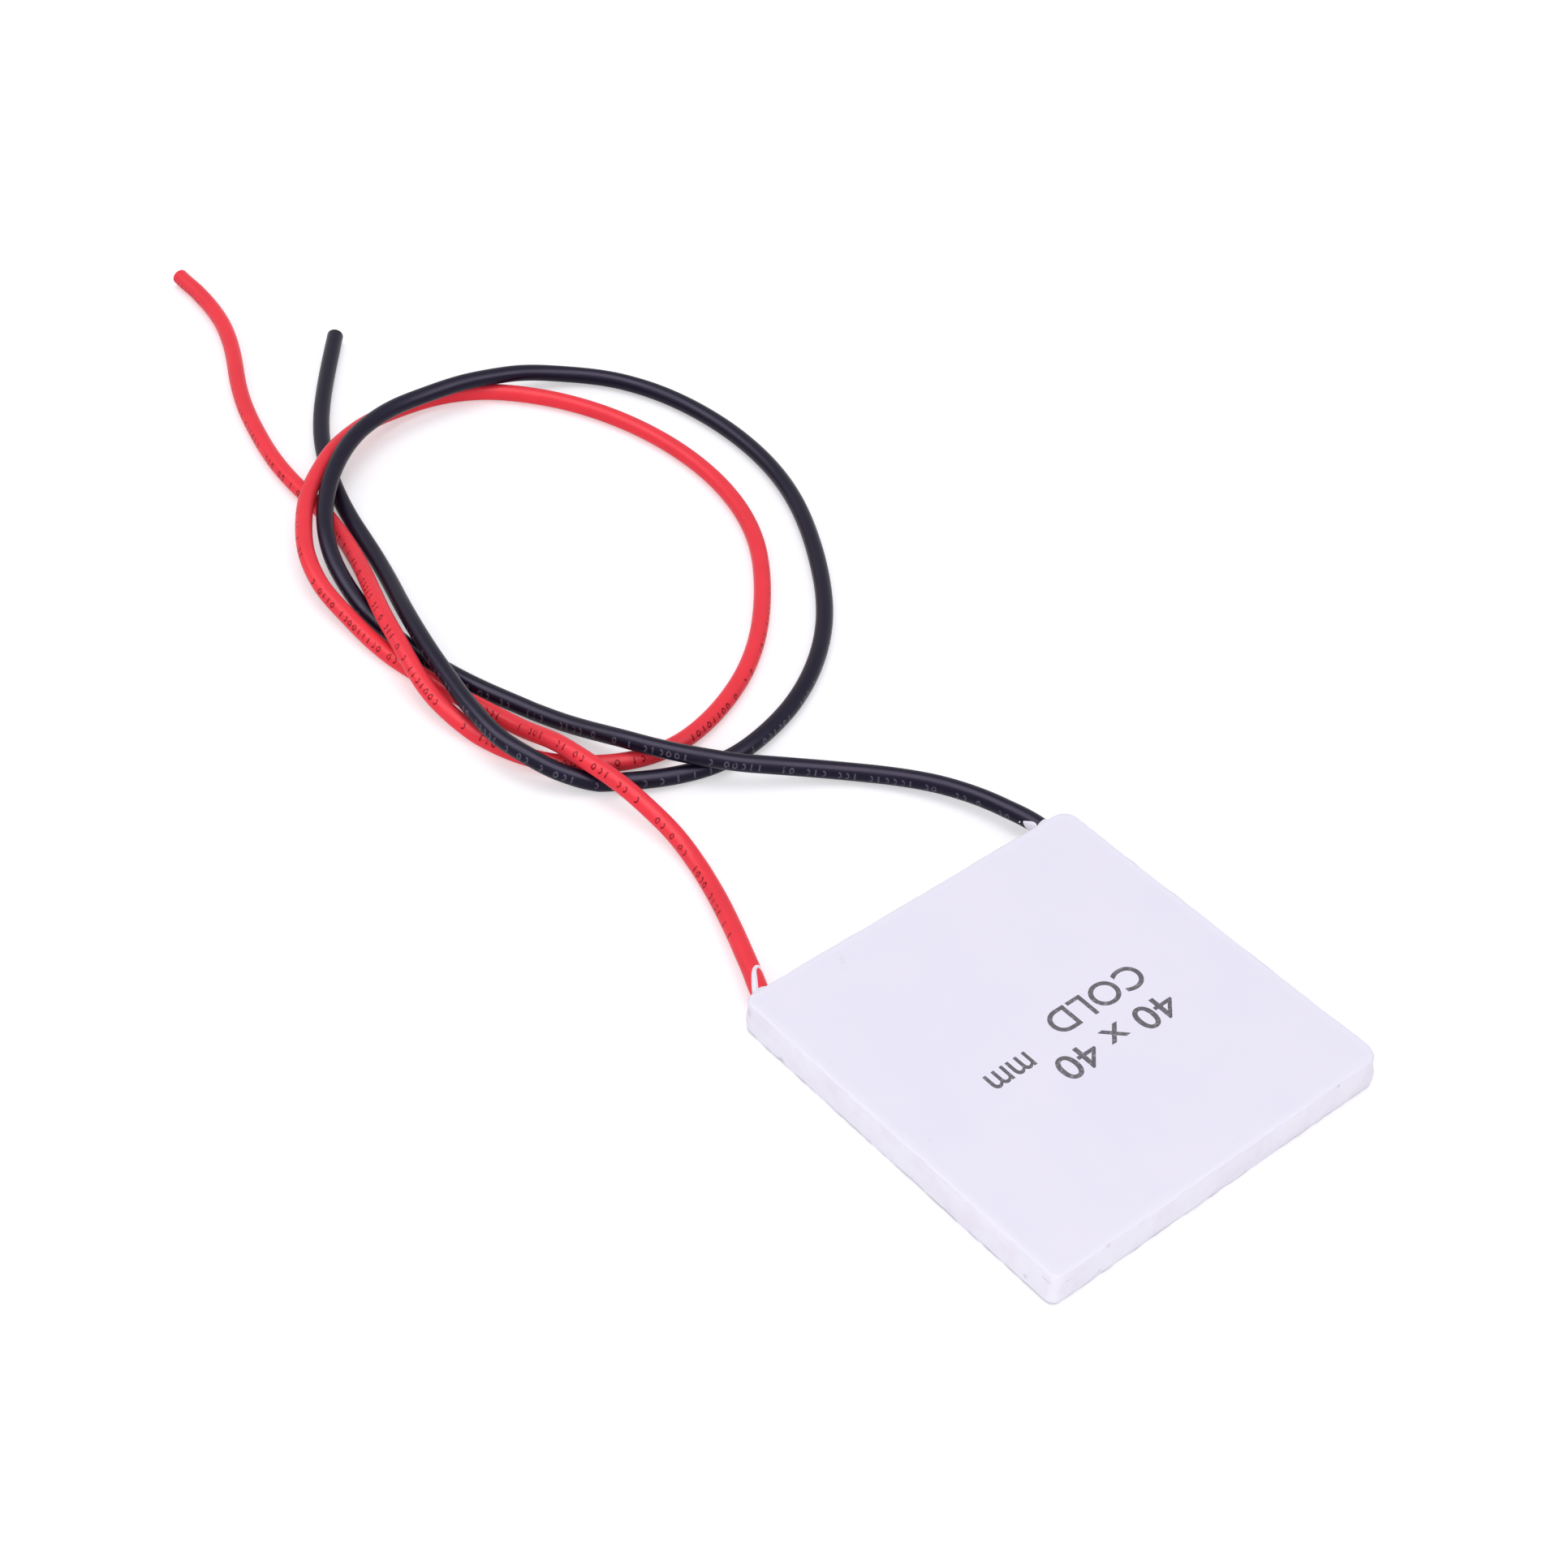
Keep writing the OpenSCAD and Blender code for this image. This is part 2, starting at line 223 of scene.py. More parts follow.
class CeramicSettings(PropertyGroup):
    """The two plates"""

    near_corner: length("Near Corner", 0.8, "Radius of the plates' upright corner at +X and +Y")
    side_corner: length("Side Corner", 1.8, "Radius of the cold plate's corner at -X and +Y")
    side_foot: length("Side Foot", 1.1, "Radius of the hot plate's corner under it")
    black_corner: length("Black Corner", 1.6, "Radius of their corner by the black lead")
    red_corner: length("Red Corner", 1.2, "Radius of their corner by the red lead")
    edge_radius: length("Edge Radius", 0.16, "Rounding along the rim of each face")
    unevenness: length("Unevenness", 0.08, "How far the rim wanders from a straight line")
    film_width: length("Film Width", 1.1, "Width of the wiped sealant along the rim of a face")
    white: colour("White", (0.83, 0.80, 0.935), "Fired alumina")
    shade: colour("Shade", (0.81, 0.785, 0.925), "Its slightly darker patches")
    film: colour("Film", (0.842, 0.814, 0.945), "Sealant wiped thin over the rim")
    # Colour of the real specks and scuff, also used for the painted shade along the foot
    dirt_and_shade: colour("Dirt And Shade", (0.40, 0.39, 0.42), "Specks and scuffs")


class SealantSettings(PropertyGroup):
    """The sealant round the edge and at the leads"""

    lip: length("Lip", 0.03, "Thickness of the skin where it ends on a plate")
    wipe: length("Wipe", 0.16, "How far the skin's lips are wiped towards the faces")
    depth: length("Depth", 0.7, "Depth of the band between the plates")
    wobble: length("Wobble", 0.09, "How far the skin wanders in and out")
    waver: length("Waver", 0.12, "How far the lips of the skin wander up and down")
    dab_length: length("Dab Length", 0.6, "How far the dab at a lead stands out of the skin")
    dab_root: length("Dab Root", 0.4, "Sealant round a lead where it leaves the skin")
    dab_lip: length("Dab Lip", 0.1, "Sealant round a lead at the lip of its dab")
    smear_thickness: length("Smear Thickness", 0.1, "Thickness of the smear on the black lead")
    white: colour("White", (0.885, 0.86, 0.95), "Matte silicone")
    blush: colour("Blush", (0.86, 0.815, 0.91), "Its warmer patches")
    # Colour of the real dust specks, also used for the painted shade in the pits, in the near corner's crease
    # and along the foot
    dirt_and_shade: colour("Dirt And Shade", (0.37, 0.36, 0.38), "Dust caught in the skin")


class LeadSettings(PropertyGroup):
    """The two leads"""

    diameter: length("Diameter", 1.8, "Outside diameter of the insulation")
    cross_gap: length("Crossing Gap", 0.1, "Height left between leads that cross")
    core_diameter: length("Core Diameter", 0.8, "Diameter of the stranded conductor")
    strand_diameter: length("Strand Diameter", 0.16, "Diameter of one strand")
    red_length: length("Red Length", 305, "Length of the red lead outside the module")
    black_length: length("Black Length", 311.5, "Length of the black lead outside the module")
    red_tilt: angle("Red Tilt", 16, "Turn of the red lead towards the middle of its edge")
    black_tilt: angle("Black Tilt", 4, "Turn of the black lead towards the middle of its edge")
    red: colour("Red", (0.91, 0.0455, 0.068), "Red insulation")
    red_print: colour("Red Print", (0.26, 0.003, 0.008), "Print on the red insulation")
    red_gloss: colour("Red Gloss", (1.0, 1.0, 1.0), "Tint of the shine on the red insulation")
    red_specular: level("Red Specular", 0.1, "Strength of that shine")
    black: colour("Black", (0.0055, 0.0045, 0.016), "Black insulation")
    black_print: colour("Black Print", (0.075, 0.07, 0.1), "Print on the black insulation")
    black_gloss: colour("Black Gloss", (0.95, 0.84, 1.0), "Tint of the shine on the black insulation")
    black_specular: level("Black Specular", 0.16, "Strength of that shine")


class MarkingSettings(PropertyGroup):
    """The ink marking on the cold face"""

    size_text: StringProperty(name="Size", description="Side of the plates", default="40 x 40")
    unit_text: StringProperty(name="Unit", description="Unit of that size", default="mm")
    side_text: StringProperty(name="Side", description="Which face this is", default="COLD")
    cap_height: length("Cap Height", 2.86, "Height of a capital letter")
    thickness: length("Thickness", 0.008, "Thickness of the ink")
    spread: length("Spread", 0.04, "How far the ink ran out of the letters' outline")
    ink: colour("Ink", (0.09, 0.082, 0.1), "Grey ink")
    thin_ink: colour("Thin Ink", (0.24, 0.225, 0.265), "The same ink where it took badly")


class StageSettings(PropertyGroup):
    """The camera, the lamps and the floor"""

    focal: level("Focal Length", 70.89, "Focal length of the lens", unit="CAMERA")
    place: FloatVectorProperty(
        name="Camera", description="Where the camera stands", subtype="TRANSLATION", unit="LENGTH",
        default=(145.02 * MM, 119.69 * MM, 204.11 * MM))
    heading: angle("Heading", -137.39, "From +Y towards +X")
    dip: angle("Dip", 42.91, "Below the horizon")
    roll: angle("Roll", 3.26, "Right side up")
    sky: level("Sky", 0.7, "Level of the light from all round")
    overhead: level("Overhead", 0.5, "Power of the overhead lamp", unit="POWER")
    fill: level("Fill", 1.25, "Power of the lamp by the camera", unit="POWER")
    sheen: level("Sheen", 19.3, "Power of the long card that shows in the leads' gloss", unit="POWER")
    floor: colour("Floor", (0.79, 0.785, 0.83), "White floor")
    floor_lift: level("Floor Lift", 0.38, "What the floor adds to its own shade to show as white")
    far_lift: level("Far Lift", 0.56, "What it adds where the lamps no longer reach it")
    floor_near: length("Floor Near", 150, "How far from the module the floor starts to add more")
    floor_far: length("Floor Far", 700, "How far from it the floor adds most")


class ModuleSettings(PropertyGroup):
    """All sizes and colours of the module"""

    ceramic: PointerProperty(type=CeramicSettings)
    sealant: PointerProperty(type=SealantSettings)
    leads: PointerProperty(type=LeadSettings)
    marking: PointerProperty(type=MarkingSettings)
    stage: PointerProperty(type=StageSettings)


def put(tree, kind, inputs=None, **properties):
    """Adds a node. Inputs are values or sockets, by name or by number."""
    count = len(tree.nodes)
    node = tree.nodes.new(kind)
    node.location = (count % 8 * 220, count // 8 * -320)
    for name, value in properties.items():
        setattr(node, name, value)
    for name, value in (inputs or {}).items():
        if isinstance(value, bpy.types.NodeSocket):
            tree.links.new(value, node.inputs[name])
        else:
            node.inputs[name].default_value = value
    return node


def sums(operation, *values):
    """The result of a Math node, in the tree of the first socket among its values"""
    tree = next(value.id_data for value in values if isinstance(value, bpy.types.NodeSocket))
    return put(tree, "ShaderNodeMath", dict(enumerate(values)), operation=operation).outputs[0]


plus, minus, times, over, larger, less, more = (
    partial(sums, operation)
    for operation in ("ADD", "SUBTRACT", "MULTIPLY", "DIVIDE", "MAXIMUM", "LESS_THAN", "GREATER_THAN"))


def strongest(*marks):
    """The strongest of several masks at each point, each given with its full strength"""
    top = 0.0
    for mask, strength in marks:
        top = larger(top, times(mask, strength))
    return top


def ramp(value, low, high):
    """A smooth mask from 0 at low to 1 at high"""
    inputs = {"Value": value, "From Min": low, "From Max": high}
    return put(value.id_data, "ShaderNodeMapRange", inputs, interpolation_type="SMOOTHSTEP").outputs[0]


def rgba(value):
    """A colour with its alpha, or a socket as it is"""
    return value if isinstance(value, bpy.types.NodeSocket) else (*value, 1)


def blend(mask, first, second):
    """A colour that goes from first to second with the mask"""
    inputs = {"Factor": mask, 6: rgba(first), 7: rgba(second)}
    return put(mask.id_data, "ShaderNodeMix", inputs, data_type="RGBA").outputs[2]


def object_point(tree):
    """The point on the piece, in the module's frame"""
    return put(tree, "ShaderNodeTexCoord").outputs["Object"]


def axes_of(point):
    """X, Y and Z of a point"""
    return put(point.id_data, "ShaderNodeSeparateXYZ", {0: point}).outputs


def distance_of(point):
    """How far a point lies from the origin"""
    return put(point.id_data, "ShaderNodeVectorMath", {0: point}, operation="LENGTH").outputs["Value"]


def inset(point):
    """How far inside the plates' sides a point lies, in millimetres"""
    axes = axes_of(point)
    far = larger(sums("ABSOLUTE", axes["X"]), sums("ABSOLUTE", axes["Y"]))
    return sums("MULTIPLY_ADD", far, -1 / MM, PLATE_W / 2 / MM)


def cloud(point, scale, detail):
    """Smooth chance values from 0 to 1"""
    inputs = {"Vector": point, "Scale": scale, "Detail": detail}
    return put(point.id_data, "ShaderNodeTexNoise", inputs).outputs[0]


def per_mm(size):
    """Scale of a texture whose features have a given size in millimetres"""
    return over(1 / MM, size)


def socket_name(word):
    """Name of a group's socket, from a keyword"""
    return word.replace("_", " ").title()


def new_group(name, result, **inputs):
    """A shader node group with number or vector inputs and one result: its tree and its inputs"""
    tree = bpy.data.node_groups.new(name, "ShaderNodeTree")
    for word, value in inputs.items():
        kind = "NodeSocketVector" if isinstance(value, tuple) else "NodeSocketFloat"
        socket = tree.interface.new_socket(socket_name(word), in_out="INPUT", socket_type=kind)
        socket.default_value = value
    tree.interface.new_socket(result, in_out="OUTPUT", socket_type="NodeSocketFloat")
    return tree, put(tree, "NodeGroupInput").outputs


def close_group(tree, result):
    """Joins a group's result to its output"""
    put(tree, "NodeGroupOutput", {0: result})


def use_group(tree, name, **inputs):
    """Places a node group in a material and gives its result"""
    node = put(tree, "ShaderNodeGroup", node_tree=bpy.data.node_groups[name])
    for word, value in inputs.items():
        node.inputs[socket_name(word)].default_value = value
    return node.outputs[0]


def make_mottle_group():
    """Soft patches of a given size in millimetres"""
    tree, given = new_group("Mottle", "Mask", size=3.0, detail=2.0, low=0.4, high=0.65)
    patches = cloud(object_point(tree), per_mm(given["Size"]), given["Detail"])
    close_group(tree, ramp(patches, given["Low"], given["High"]))


def make_grain_group():
    """A fine relief with a slower one under it, sizes in millimetres"""
    tree, given = new_group("Grain", "Height", fine=0.1, coarse=1.0, balance=0.5)
    point = object_point(tree)
    fine = cloud(point, per_mm(given["Fine"]), 2.0)
    coarse = cloud(point, per_mm(given["Coarse"]), 3.0)
    both = put(tree, "ShaderNodeMix", {"Factor": given["Balance"], 2: fine, 3: coarse}, data_type="FLOAT")
    close_group(tree, both.outputs[0])


def make_speck_group():
    """Small dots: one in each cell of a given size in millimetres, for a share of the cells"""
    tree, given = new_group("Specks", "Mask", cell=2.0, dot=0.08, core=0.4, share=0.2)
    cells = put(tree, "ShaderNodeTexVoronoi",
                {"Vector": object_point(tree), "Scale": per_mm(given["Cell"])}).outputs
    reach = over(given["Dot"], given["Cell"])
    dot = ramp(cells["Distance"], reach, times(reach, given["Core"]))
    draw = put(tree, "ShaderNodeSeparateColor", {0: cells["Color"]}).outputs[0]
    close_group(tree, times(dot, less(draw, given["Share"])))


def make_smudge_group():
    """A soft broken mark within an ellipsoid, in millimetres, turned about Z"""
    tree, given = new_group(
        "Smudge", "Mask", centre=(0.0, 0.0, 0.0), half_size=(1.0, 1.0, 1.0), turn=0.0, core=0.3, grit=0.3,
        low=0.42, high=0.62, solid=0.0)
    scaled = put(tree, "ShaderNodeVectorMath", {0: object_point(tree), "Scale": 1 / MM}, operation="SCALE")
    point = scaled.outputs[0]
    turn = put(tree, "ShaderNodeCombineXYZ", {"Z": given["Turn"]}).outputs[0]
    inputs = {"Vector": point, "Location": given["Centre"], "Rotation": turn, "Scale": given["Half Size"]}
    inside = put(tree, "ShaderNodeMapping", inputs, vector_type="TEXTURE").outputs[0]
    grit = cloud(point, over(1.0, given["Grit"]), 3.0)
    broken = larger(ramp(grit, given["Low"], given["High"]), given["Solid"])
    near = ramp(distance_of(inside), 1.0, given["Core"])
    close_group(tree, times(near, broken))


def make_rim_group():
    """How near a face's rim a point is: 1 within the band, with a wandering border, in millimetres"""
    tree, given = new_group("Rim Film", "Mask", width=1.1, core=0.2, wander=1.2, patch=2.0)
    point = object_point(tree)
    drift = minus(cloud(point, per_mm(given["Patch"]), 4.0), 0.5)
    border = sums("MULTIPLY_ADD", drift, given["Wander"], inset(point))
    close_group(tree, ramp(border, given["Width"], times(given["Width"], given["Core"])))


def make_foot_group():
    """Broken painted shade along an upright edge by the surface that the module lies on, where shade falls as
    they meet; sizes in millimetres
    """
    tree, given = new_group(
        "Foot Dust", "Mask", height=0.42, core=0.5, inner=0.4, outer=0.15, patch=1.4, low=0.34, high=0.56)
    point = object_point(tree)
    edge = ramp(inset(point), given["Inner"], given["Outer"])
    height = over(axes_of(point)["Z"], MM)
    low = ramp(height, given["Height"], times(given["Height"], given["Core"]))
    patches = cloud(point, per_mm(given["Patch"]), 4.0)
    broken = ramp(patches, given["Low"], given["High"])
    close_group(tree, times(times(low, edge), broken))


def make_print_group():
    """Rows of plain rings and strokes along a lead, in words of uneven length. Sizes are in millimetres and
    the place round the lead is in turns from its top."""
    tree, given = new_group(
        "Lead Print", "Mask", length=300.0, girth=5.65, place=0.0, start=8.0, sway=0.08, sway_rate=0.035,
        pitch=0.8, half_width=0.26, half_height=0.36, ring=0.75, line=0.27, stroke=0.09, rings=0.65,
        opened=0.35, mouth=0.08, word_rate=0.21, gaps=0.47, wear=1 / 2.2, worn=0.25, whole=0.48, seed=0.0)
    place = axes_of(put(tree, "ShaderNodeTexCoord").outputs["UV"])
    run = times(place["X"], given["Length"])
    wave = sums("SINE", times(run, given["Sway Rate"]))
    row = sums("MULTIPLY_ADD", wave, given["Sway"], given["Place"])
    turn = minus(minus(place["Y"], TUBE_TOP), row)
    wrapped = minus(sums("FRACT", plus(turn, 1.5)), 0.5)
    up = times(wrapped, given["Girth"])
    cell = over(run, given["Pitch"])
    number = sums("FLOOR", cell)
    across = times(minus(sums("FRACT", cell), 0.5), given["Pitch"])
    wide = sums("POWER", over(across, given["Half Width"]), 2.0)
    tall = sums("POWER", over(up, given["Half Height"]), 2.0)
    ring = sums("COMPARE", sums("SQRT", plus(wide, tall)), given["Ring"], given["Line"])
    in_row = sums("COMPARE", up, 0.0, given["Half Height"])
    stroke = times(sums("COMPARE", across, 0.0, given["Stroke"]), in_row)
    draw = put(tree, "ShaderNodeTexWhiteNoise", {"W": plus(number, given["Seed"])},
               noise_dimensions="1D").outputs[0]
    is_ring = less(draw, given["Rings"])
    mouth = times(less(draw, given["Opened"]), more(across, given["Mouth"]))
    part_ring = times(ring, minus(is_ring, mouth))
    shape = plus(part_ring, times(stroke, minus(1.0, is_ring)))
    words = put(tree, "ShaderNodeTexNoise",
                {"W": sums("MULTIPLY_ADD", number, given["Word Rate"], given["Seed"]), "Detail": 0.0},
                noise_dimensions="1D").outputs[0]
    printed = times(shape, more(words, given["Gaps"]))
    begun = times(printed, more(run, given["Start"]))
    wear = cloud(object_point(tree), per_mm(given["Wear"]), 2.0)
    close_group(tree, times(begun, ramp(wear, given["Worn"], given["Whole"])))


GROUP_MAKERS = (
    make_mottle_group, make_grain_group, make_speck_group, make_smudge_group, make_rim_group,
    make_foot_group, make_print_group)


def new_material(name, specular=0.5, metallic=0.0):
    """A material with its Principled BSDF"""
    material = bpy.data.materials.new(name)
    material.use_nodes = True
    tree = material.node_tree
    shader = tree.nodes["Principled BSDF"]
    shader.inputs["Specular IOR Level"].default_value = specular
    shader.inputs["Metallic"].default_value = metallic
    return material, tree, shader


def paint(shader, tone):
    """The colour of a surface"""
    shader.id_data.links.new(tone, shader.inputs["Base Color"])


def roughen(shader, mask, low, high):
    """Roughness that goes from low to high with the mask"""
    inputs = {"Value": mask, "To Min": low, "To Max": high}
    tree = shader.id_data
    tree.links.new(put(tree, "ShaderNodeMapRange", inputs).outputs[0], shader.inputs["Roughness"])


def relief(shader, strength, depth, **grain):
    """Bump from a grain, with its depth in millimetres"""
    tree = shader.id_data
    height = use_group(tree, "Grain", **grain)
    bump = put(tree, "ShaderNodeBump", {"Height": height, "Strength": strength, "Distance": depth * MM})
    tree.links.new(bump.outputs[0], shader.inputs["Normal"])


def ceramic_material(ceramic):
    """Matte fired alumina with a wiped film along the rim, a scuff, a few specks and painted shade along its
    foot
    """
    material, tree, shader = new_material("Alumina", specular=0.12)
    patches = use_group(tree, "Mottle", size=9.0, detail=3.0, low=0.35, high=0.7)
    body = blend(patches, ceramic.white, ceramic.shade)
    film = use_group(tree, "Rim Film", width=ceramic.film_width / MM)
    specks = use_group(tree, "Specks", cell=4.5, dot=0.09, share=0.25)
    scuff = use_group(
        tree, "Smudge", centre=(9.8, -18.4, 3.6), half_size=(0.3, 2.0, 0.5), turn=-0.45, grit=0.6)
    # The foot mask paints shade along the bottom edge, where the plate meets the surface below
    foot = use_group(tree, "Foot Dust")
    marks = strongest((specks, 0.4), (scuff, 0.14), (foot, FOOT_SHADE))
    paint(shader, blend(marks, blend(film, body, ceramic.film), ceramic.dirt_and_shade))
    roughen(shader, patches, low=0.5, high=0.62)
    relief(shader, strength=0.25, depth=0.02, fine=0.06, coarse=0.8, balance=0.35)
    return material


def sealant_material(sealant):
    """Matte silicone with warmer patches and a little caught dust, and painted shade in its pits, in a crease
    at the near corner and along its foot
    """
    material, tree, shader = new_material("Sealant", specular=0.15)
    patches = use_group(tree, "Mottle", size=3.2, detail=3.0, low=0.42, high=0.72)
    body = blend(patches, sealant.white, sealant.blush)
    specks = use_group(tree, "Specks", cell=1.7, dot=0.11, share=0.22)
    # Painted shade: a dark line for the shadowed crevice between the cold plate and the skin at the near
    # corner
    crease_shade = use_group(tree, "Smudge", centre=(19.7, 19.7, 2.8), half_size=(1.9, 1.9, 0.16), grit=0.8)
    # Painted shade: each pit is darkened over its dent
    pit_shades = [use_group(tree, "Smudge", centre=place, half_size=(reach,) * 3, solid=0.8)
            for place, reach, _ in PITS]
    # The foot mask paints shade along the bottom edge, where the skin meets the surface below
    foot = use_group(tree, "Foot Dust")
    marks = strongest((specks, 0.3), (crease_shade, 0.4), *((pit_shade, 0.55) for pit_shade in pit_shades), (foot, FOOT_SHADE))
    paint(shader, blend(marks, body, sealant.dirt_and_shade))
    roughen(shader, patches, low=0.42, high=0.6)
    relief(shader, strength=0.5, depth=0.08, fine=0.18, coarse=1.1, balance=0.6)
    return material


def insulation_material(name, body, ink, gloss, specular, lettering):
    """Satin extruded insulation with a worn print along it"""
    material, tree, shader = new_material(name, specular=specular)
    shader.inputs["Specular Tint"].default_value = rgba(gloss)
    drift = use_group(tree, "Mottle", size=6.0, detail=2.0, low=0.3, high=0.75)
    shade = blend(drift, body, [0.9 * part for part in body])
    paint(shader, blend(use_group(tree, "Lead Print", **lettering), shade, ink))
    roughen(shader, drift, low=0.3, high=0.4)
    relief(shader, strength=0.2, depth=0.03, fine=0.12, coarse=1.6, balance=0.5)
    return material


def ink_material(marking):
    """Stamped grey ink that took unevenly"""
    material, tree, shader = new_material("Marking Ink", specular=0.3)
    thin = use_group(tree, "Mottle", size=0.35, detail=3.0, low=0.5, high=0.72)
    paint(shader, blend(thin, marking.ink, marking.thin_ink))
    roughen(shader, thin, low=0.5, high=0.7)
    return material


def metal_material(name):
    """Bare metal with duller patches, made once"""
    if name in bpy.data.materials:
        return bpy.data.materials[name]
    bright, dull, size, smooth, rough = METALS[name]
    material, tree, shader = new_material(name, metallic=1.0)
    patches = use_group(tree, "Mottle", size=size, detail=4.0)
    paint(shader, blend(patches, bright, dull))
    roughen(shader, patches, low=smooth, high=rough)
    relief(shader, strength=0.3, depth=0.01, fine=0.05, coarse=0.4, balance=0.4)
    return material


def background_ray(tree):
    """1 for the rays that show the background, directly or in a reflection"""
    path = put(tree, "ShaderNodeLightPath").outputs
    mirrored = larger(path["Is Glossy Ray"], path["Is Transmission Ray"])
    return larger(path["Is Camera Ray"], mirrored)


def floor_material(stage):
    """White floor: it takes the module's shadow, and shows white where nothing shades it"""
    material, tree, shader = new_material("Floor", specular=0.0)
    shader.inputs["Base Color"].default_value = rgba(stage.floor)
    shader.inputs["Roughness"].default_value = 1.0
    shader.inputs["Emission Color"].default_value = (1, 1, 1, 1)
    inputs = {"Value": distance_of(object_point(tree)), "From Min": stage.floor_near,
              "From Max": stage.floor_far, "To Min": stage.floor_lift, "To Max": stage.far_lift}
    lift = put(tree, "ShaderNodeMapRange", inputs).outputs[0]
    tree.links.new(times(background_ray(tree), lift), shader.inputs["Emission Strength"])
    return material


def new_mesh(name, bm, material):
    """A mesh of a bmesh, which is then freed"""
    mesh = bpy.data.meshes.new(name)
    bm.to_mesh(mesh)
    bm.free()
    mesh.materials.append(material)
    return mesh


def new_object(name, data):
    """An object in the scene"""
    made = bpy.data.objects.new(name, data)
    bpy.context.scene.collection.objects.link(made)
    return made


def new_piece(name, bm, material, replaces=()):
    """Makes an object of a bmesh, smooth except at sharp edges, that rides with the module"""
    mesh = new_mesh(name, bm, material)
    mesh.shade_smooth()
    mesh.set_sharp_from_angle(angle=SMOOTH_ANGLE)
    piece = new_object(name, mesh)
    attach(piece, BODY)
    if replaces:
        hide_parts(*replaces)
    return piece


def add_mesh(bm, part):
    """Moves the faces of one bmesh into another"""
    carrier = bpy.data.meshes.new("part")
    part.to_mesh(carrier)
    part.free()
    bm.from_mesh(carrier)
    bpy.data.meshes.remove(carrier)


def curve_mesh(curve):
    """The bmesh of a curve or of words, which are then removed"""
    carrier = bpy.data.objects.new(curve.name, curve)
    mesh = bpy.data.meshes.new_from_object(carrier)
    bm = bmesh.new()
    bm.from_mesh(mesh)
    bpy.data.objects.remove(carrier)
    bpy.data.curves.remove(curve)
    bpy.data.meshes.remove(mesh)
    return bm


def edges_in(geometry):
    """The edges in a list of mixed geometry"""
    return [part for part in geometry if isinstance(part, bmesh.types.BMEdge)]


def closed_line(bm, points):
    """A closed line of new points: its points and its edges"""
    verts = [bm.verts.new(point) for point in points]
    return verts, [bm.edges.new((verts[i - 1], verts[i])) for i in range(len(verts))]


def bevel(bm, edges, offset, segments):
    """Rounds edges"""
    bmesh.ops.bevel(
        bm, geom=edges, offset=offset, offset_type="OFFSET", segments=segments, profile=0.5,
        affect="EDGES", material=-1)


def corner_radius(ceramic, point):
    """Radius of the upright corner on a point's side of the module"""
    if point.y > 0:
        return ceramic.near_corner if point.x > 0 else ceramic.side_corner
    return ceramic.red_corner if point.x > 0 else ceramic.black_corner


def outward(point, ceramic):
    """Level direction out of the edge near a point, and how far out of the edge the point lies"""
    radius = corner_radius(ceramic, point)
    reach = PLATE_W / 2 - radius
    axis = Vector((max(-reach, min(reach, point.x)), max(-reach, min(reach, point.y)), 0))
    away = Vector((point.x, point.y, 0)) - axis
    return away.normalized(), away.length - radius


def unevenness(point, size):
    """A smooth chance value from -1 to 1 that changes over a given length"""
    return noise.noise(point / size)


def waves(point, slow, fine, share):
    """Slow unevenness with a share of a finer one"""
    return unevenness(point, slow) + share * unevenness(point, fine)


def pit_depth(point):
    """Depth of the pits at a point of the edge"""
    return MM * sum(
        deep * math.exp(-((point / MM - Vector(place)).length / reach) ** 2) for place, reach, deep in PITS)


def edge_shift(point, direction, ceramic):
    """From the module's plain outline to its real edge at a point"""
    shift = direction * (ceramic.unevenness * waves(point, *RIM_WAVES) - pit_depth(point))
    on_arc = min(abs(direction.x), abs(direction.y)) > CORNER_SHARE
    if on_arc and point.x < 0 < point.y:
        foot = 1 - smoothstep(HOT_HIGH.z, COLD_LOW.z, point.z)
        shift += foot * (ceramic.side_corner - ceramic.side_foot) * (Vector((-1, 1, 0)) - direction)
    return shift


def plate_mesh(low, high, ceramic):
    """A square plate with round corners and a softened, slightly uneven rim"""
    bm = bmesh.new()
    size = high - low
    band = 2 * ceramic.edge_radius
    place = Matrix.Translation((low + high) / 2) @ Matrix.Diagonal((*size, 1))
    bmesh.ops.create_cube(bm, size=1, matrix=place)
    for x, y in ((1, 1), (-1, 1), (-1, -1), (1, -1)):
        corner = Vector((x, y, 0)) * PLATE_W / 2
        upright = [e for e in bm.edges if all((v.co - corner).xy.length < MERGE for v in e.verts)]
        bevel(bm, upright, corner_radius(ceramic, corner), CORNER_STEPS)
    sides = [e for e in bm.edges if e.calc_length() > size.x / 2]
    bmesh.ops.subdivide_edges(bm, edges=sides, cuts=RIM_CUTS, use_grid_fill=True)
    faces = [f for f in bm.faces if abs(f.normal.z) > LEVEL_RISE]
    bevel(bm, [e for f in faces for e in f.edges], ceramic.edge_radius, RIM_STEPS)
    faces = [f for f in bm.faces if len(f.verts) > 2 * RIM_CUTS]
    bmesh.ops.inset_individual(bm, faces=faces, thickness=band)
    for vert in bm.verts:
        direction, proud = outward(vert.co, ceramic)
        if proud > -band:
            vert.co += edge_shift(vert.co, direction, ceramic)
    return bm


def lip_levels(sealant):
    """Heights of the skin's two lips"""
    return SEAL_LOW.z - sealant.wipe, SEAL_HIGH.z + sealant.wipe


